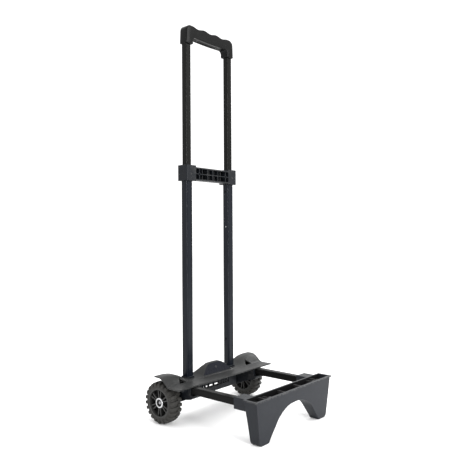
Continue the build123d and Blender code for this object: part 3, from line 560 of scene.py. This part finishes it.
def prism_cutter(outline, z0, z1):
    """Upright prism over an outline of (x, y) points."""
    bm = bmesh.new()
    lower = [bm.verts.new((x, y, z0)) for x, y in outline]
    upper = [bm.verts.new((x, y, z1)) for x, y in outline]
    bm.faces.new(lower)
    bm.faces.new(upper)
    for i in range(len(outline)):
        k = (i + 1) % len(outline)
        bm.faces.new((lower[i], lower[k], upper[k], upper[i]))
    return mesh_piece("cutter", bm, "nylon")


VENT_CORNERS = [(114, -33), (141, -33), (129, -16.5)]
TUBE_HOLE_HALF = (11.5, 9.4)


def load_plate():
    """Thin moulded sheet over the deck's height, with rounded rim."""
    edge = 0.9
    xs = [PLATE_LOW.x, PLATE_LOW.x + edge] + spread(PLATE_LOW.x + 3, PLATE_HIGH.x - 3, 3)
    xs += [PLATE_HIGH.x - edge, PLATE_HIGH.x]
    dense_from, dense_to = MAST.y - 44, MAST.y - 10
    ys = [PLATE_LOW.y, PLATE_LOW.y + edge] + spread(PLATE_LOW.y + 3, dense_from, 4)
    ys += spread(dense_from, dense_to, 1.1)[1:] + spread(dense_to, PLATE_HIGH.y - 3, 2.5)[1:]
    ys += [PLATE_HIGH.y - edge, PLATE_HIGH.y]
    bm = bmesh.new()
    layers = []
    for drop in (0, PLATE_WALL):
        layers.append([[bm.verts.new((x, y, deck_height(x, y) - drop)) for x in xs] for y in ys])
    top, bottom = layers
    close_sheet(bm, top, bottom)
    piece = mesh_piece("load_plate", bm, "plate_plastic")
    for sign in (-1, 1):
        corners = [(sign * x, MAST.y + back) for x, back in VENT_CORNERS]
        cut(piece, prism_cutter(corners, DECK - 10, DECK + 40))
        x, (half_x, half_y) = sign * MAST.x, TUBE_HOLE_HALF
        cut(piece, box_cutter(
            (x - half_x, MAST.y - half_y, DECK - 10), (x + half_x, MAST.y + half_y, DECK + 30),
        ))
    bevel(piece, 0.7, 3, 50)
    applied(piece)
    smooth(piece.data, 38)
    return stands_for(piece, "base_plate")


def rise_place(rise):
    """Where, front to back, the hump's front reaches a rise."""
    front, rear = -38.0, -13.0
    for _ in range(30):
        middle = (front + rear) / 2
        if curve_through(HUMP_ALONG, middle) < rise:
            front = middle
        else:
            rear = middle
    return front


def hump_face():
    """Smooth D-shaped panel laid over the hump's leaning front."""
    half, foot, margin, lift, sink = 53.0, 3.4, 1.7, 0.9, 1.0
    lean_y, lean_z = 0.91, 0.41
    columns, levels = 60, 14
    bm = bmesh.new()
    front, rear = [], []
    for level in range(levels + 1):
        for layer, offset in ((front, lift), (rear, -sink)):
            row = []
            for column in range(columns + 1):
                x = half * (2 * column / columns - 1)
                top = min(curve_through(HUMP_ACROSS, abs(x)) - margin, HUMP_RISE - 2.2)
                rise = foot + (top - foot) * level / levels
                y = MAST.y + rise_place(rise) - offset * lean_y
                row.append(bm.verts.new((x, y, DECK + rise + offset * lean_z)))
            layer.append(row)
    close_sheet(bm, front, rear)
    piece = mesh_piece("hump_face", bm, "panel_plastic")
    bevel(piece, 0.35, 2, 50)
    applied(piece)
    smooth(piece.data, 40)
    return stands_for(piece, "hump_panel")


# Handle ------------------------------------------------------------------------------------


def arc_points(centre, radius, start, end, count):
    """Points on an arc, angles in degrees."""
    return [
        (
            centre[0] + radius * math.cos(math.radians(start + (end - start) * i / count)),
            centre[1] + radius * math.sin(math.radians(start + (end - start) * i / count)),
        )
        for i in range(count + 1)
    ]


GRIP_BELLY = 1.5


def handle():
    """Grip with finger waves and two sockets, its long edges well rounded."""
    low, high = box_mm("handle_shell")
    cover_low, cover_high = box_mm("handle_under_cover")
    tube_low, tube_high = box_mm("inner_tube_right")
    tube = (tube_low + tube_high) / 2
    under = cover_low.z
    shoulder, fillet, draft = 15.0, 10.0, 1.5
    outer, inner = high.x, tube.x - 14
    wave_depth, wave_reach, wave_pitch = 3.6, 69, 46
    waves = [
        (x, high.z - wave_depth * (0.5 - 0.5 * math.cos(2 * math.pi * (x - wave_reach) / wave_pitch)))
        for x in spread(wave_reach, -wave_reach, 3)
    ]
    top_outer = outer - draft
    outline = arc_points((top_outer - shoulder, high.z - shoulder), shoulder, 0, 90, 10)
    outline += waves
    outline += arc_points((-top_outer + shoulder, high.z - shoulder), shoulder, 90, 180, 10)
    outline += [(-outer, low.z), (-inner, low.z)]
    outline += arc_points((-inner + fillet, under - fillet), fillet, 180, 90, 8)
    span = inner - fillet
    outline += [(x, under - GRIP_BELLY * (1 - (x / span) ** 2)) for x in spread(-span, span, 4)[1:-1]]
    outline += arc_points((span, under - fillet), fillet, 90, 0, 8)
    outline += [(inner, low.z), (outer, low.z)]
    bm = bmesh.new()
    front = [bm.verts.new((x, low.y, z)) for x, z in outline]
    back = [bm.verts.new((x, high.y, z)) for x, z in outline]
    bm.faces.new(front)
    bm.faces.new(back)
    for i in range(len(outline)):
        k = (i + 1) % len(outline)
        bm.faces.new((front[i], back[i], back[k], front[k]))
    piece = mesh_piece("handle_grip", bm, "grip_plastic")
    bevel(piece, 2.6, 5, 50)
    applied(piece)
    cut(piece, box_cutter(
        (cover_low.x - 1, cover_low.y - 0.3, cover_low.z - GRIP_BELLY - 3),
        (-cover_low.x + 1, cover_high.y + 0.3, cover_high.z + 0.2),
    ))
    half_x, half_y = (tube_high.x - tube_low.x) / 2 + 0.3, (tube_high.y - tube_low.y) / 2 + 0.3
    for sign in (-1, 1):
        x, y = sign * tube.x, tube.y
        cut(piece, box_cutter(
            (x - half_x, y - half_y, low.z - 3), (x + half_x, y + half_y, tube_high.z + 0.1),
        ))
    bevel(piece, 0.4, 2, 50)
    applied(piece)
    smooth(piece.data, 35)
    return stands_for(piece, "handle_shell")


# Everything else ---------------------------------------------------------------------------

EDGE_ROUNDING = {
    "crossbar": 0.7, "crossbar_rear_cover": 0.5, "crossmember": 0.5, "handle_under_cover": 0.5,
    "front_foot": 1.1, "side_bracket_left": 0.9, "side_bracket_right": 0.9, "tube_socket_left": 0.8,
    "tube_socket_right": 0.8, "tube_collar_left": 0.4, "tube_collar_right": 0.4, "rim_left": 0.4,
    "rim_right": 0.4, "rail_plug_left": 0.5, "rail_plug_right": 0.5, "wheel_spacers": 0.4,
    "outer_tube_left": 0.25, "outer_tube_right": 0.25, "inner_tube_left": 0.25, "inner_tube_right": 0.25,
    "rail_left": 0.25, "rail_right": 0.25,
}

# the rails take their own paint; the handle's under cover takes painted shade (shaded_plastic)
FINISH_OF = {
    "rail_left": "rail_paint", "rail_right": "rail_paint", "handle_under_cover": "shaded_plastic",
}

for node, width in EDGE_ROUNDING.items():
    refined(node, width, material=FINISH_OF.get(node))
paint_trough_shade()
trough_ribs()
for side, _ in SIDES:
    tyre(side)
load_plate()
hump_face()
handle()

shown = {node for piece in bpy.data.objects for node in piece.get("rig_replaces", [])}
for node, cad_object in frame["nodes"].items():
    if node in shown:
        continue
    cad_object.data.materials.clear()
    cad_object.data.materials.append(MATERIALS[SLOT_OF[node]])
# painted shade inside each hub ring's bore
for side, _ in SIDES:
    paint_bore_shade(side)


# Studio ------------------------------------------------------------------------------------


def studio_floor():
    bm = bmesh.new()
    bmesh.ops.create_circle(bm, cap_ends=True, segments=96, radius=14)
    mesh = bpy.data.meshes.new("studio_floor")
    bm.to_mesh(mesh)
    bm.free()
    material, tree, shader = new_material("studio_floor")
    tree.links.new(
        ramp(tree, noise_value(tree, 3, detail=2), [(0.3, 0.94), (0.7, 0.96)]), shader.inputs["Base Color"]
    )
    shader.inputs["Roughness"].default_value = 0.9
    shader.inputs["Specular IOR Level"].default_value = 0.1
    mesh.materials.append(material)
    floor = add_object("studio_floor", mesh)
    floor.location.z = -0.0004


def area_light(name, place, target, width, height, power):
    """Soft rectangular light that faces a point."""
    light = bpy.data.lights.new(name, "AREA")
    light.shape = "RECTANGLE"
    light.size = width
    light.size_y = height
    light.energy = power
    lamp = bpy.data.objects.new(name, light)
    lamp.location = place
    lamp.rotation_euler = (Vector(target) - Vector(place)).to_track_quat("-Z", "Y").to_euler()
    bpy.context.scene.collection.objects.link(lamp)


def studio_light():
    world = bpy.data.worlds.new("studio")
    world.use_nodes = True
    background = world.node_tree.nodes["Background"]
    background.inputs["Color"].default_value = (1, 1, 1, 1)
    background.inputs["Strength"].default_value = 1.3
    bpy.context.scene.world = world
    middle = (0, 0, 0.35)
    area_light("key", (1.3, -2.6, 1.8), middle, 1.6, 1.6, 34)
    area_light("top", (0.0, -0.3, 3.0), middle, 2.2, 2.2, 24)
    area_light("right_strip", (2.2, 0.5, 0.7), middle, 0.25, 1.8, 26)
    area_light("left_strip", (-0.6, -2.6, 0.7), middle, 0.25, 1.8, 60)


def camera():
    """Level camera to the trolley's front left, as the object is seen."""
    view = bpy.data.cameras.new("camera")
    view.lens = 44.57
    view.sensor_width = 36
    view.shift_y = 0.019
    holder = bpy.data.objects.new("camera", view)
    holder.location = (-1.0933, -0.8972, 0.4593)
    heading = Vector((0.7557, 0.6549, 0))
    roll = Quaternion((0, 0, 1), math.radians(-0.305))
    holder.rotation_euler = (heading.to_track_quat("-Z", "Y") @ roll).to_euler()
    bpy.context.scene.collection.objects.link(holder)
    bpy.context.scene.camera = holder


studio_floor()
studio_light()
camera()
bpy.context.scene.view_settings.view_transform = "Standard"
